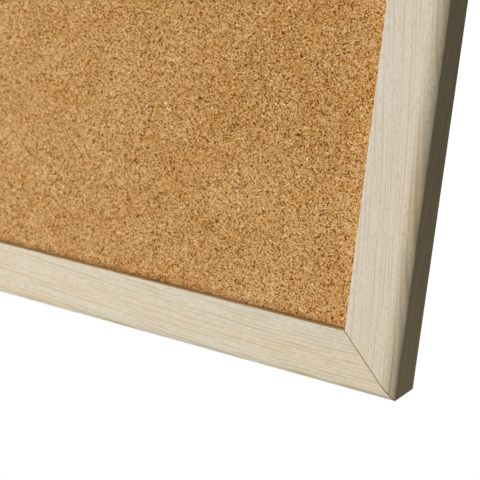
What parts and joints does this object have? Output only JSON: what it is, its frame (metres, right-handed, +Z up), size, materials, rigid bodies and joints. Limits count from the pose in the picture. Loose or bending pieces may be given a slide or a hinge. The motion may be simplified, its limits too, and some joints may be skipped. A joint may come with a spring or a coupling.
{
  "type": "framed cork bulletin board",
  "caption": "Wall-hung cork pin board in a mitred pale wood frame with a crowned outer edge, a layered panel held in a rebate, and two swinging wire hanger rings behind.",
  "frame": {"origin": "centre of the board's underside, half way along its width and half way through the frame's depth", "axes": "+X to the viewer's right when facing the cork, +Y from the front towards the wall, +Z up; the cork faces -Y"},
  "size_m": [0.6, 0.0242, 0.4],
  "materials": {
    "pine_moulding": "whitewashed straight-grained softwood, sanded, with a thin matt lacquer",
    "cork": null,
    "fibreboard": "soft insulating fibreboard, matt",
    "hardboard": "standard brown hardboard with its smooth face out, matt",
    "bright_steel": "bright steel strip, satin",
    "zinc_plate": "bright zinc plated steel, satin",
    "bumper_rubber": "soft black rubber, matt"
  },
  "bodies": {
    "board": {"top_rail": "pine_moulding", "bottom_rail": "pine_moulding", "left_stile": "pine_moulding", "right_stile": "pine_moulding", "cork_sheet": "cork", "core_board": "fibreboard", "backing_board": "hardboard", "v_nails_top_left": "bright_steel", "v_nails_top_right": "bright_steel", "v_nails_bottom_left": "bright_steel", "v_nails_bottom_right": "bright_steel", "retaining_points_top": "bright_steel", "retaining_points_bottom": "bright_steel", "retaining_points_left": "bright_steel", "retaining_points_right": "bright_steel", "left_hanger_strap": "zinc_plate", "right_hanger_strap": "zinc_plate", "left_hanger_screws": "zinc_plate", "right_hanger_screws": "zinc_plate", "left_bumper": "bumper_rubber", "right_bumper": "bumper_rubber"},
    "left_ring": {"left_hanger_ring": "zinc_plate"},
    "right_ring": {"right_hanger_ring": "zinc_plate"}
  },
  "joints": [
    {"name": "left_ring_swing", "type": "hinge", "parent": "board", "child": "left_ring", "pos_m": [-0.292, 0.01213, 0.3], "axis": [-1, 0, 0], "range_deg": [0, 178]},
    {"name": "right_ring_swing", "type": "hinge", "parent": "board", "child": "right_ring", "pos_m": [0.292, 0.01213, 0.3], "axis": [-1, 0, 0], "range_deg": [0, 178]}
  ]
}
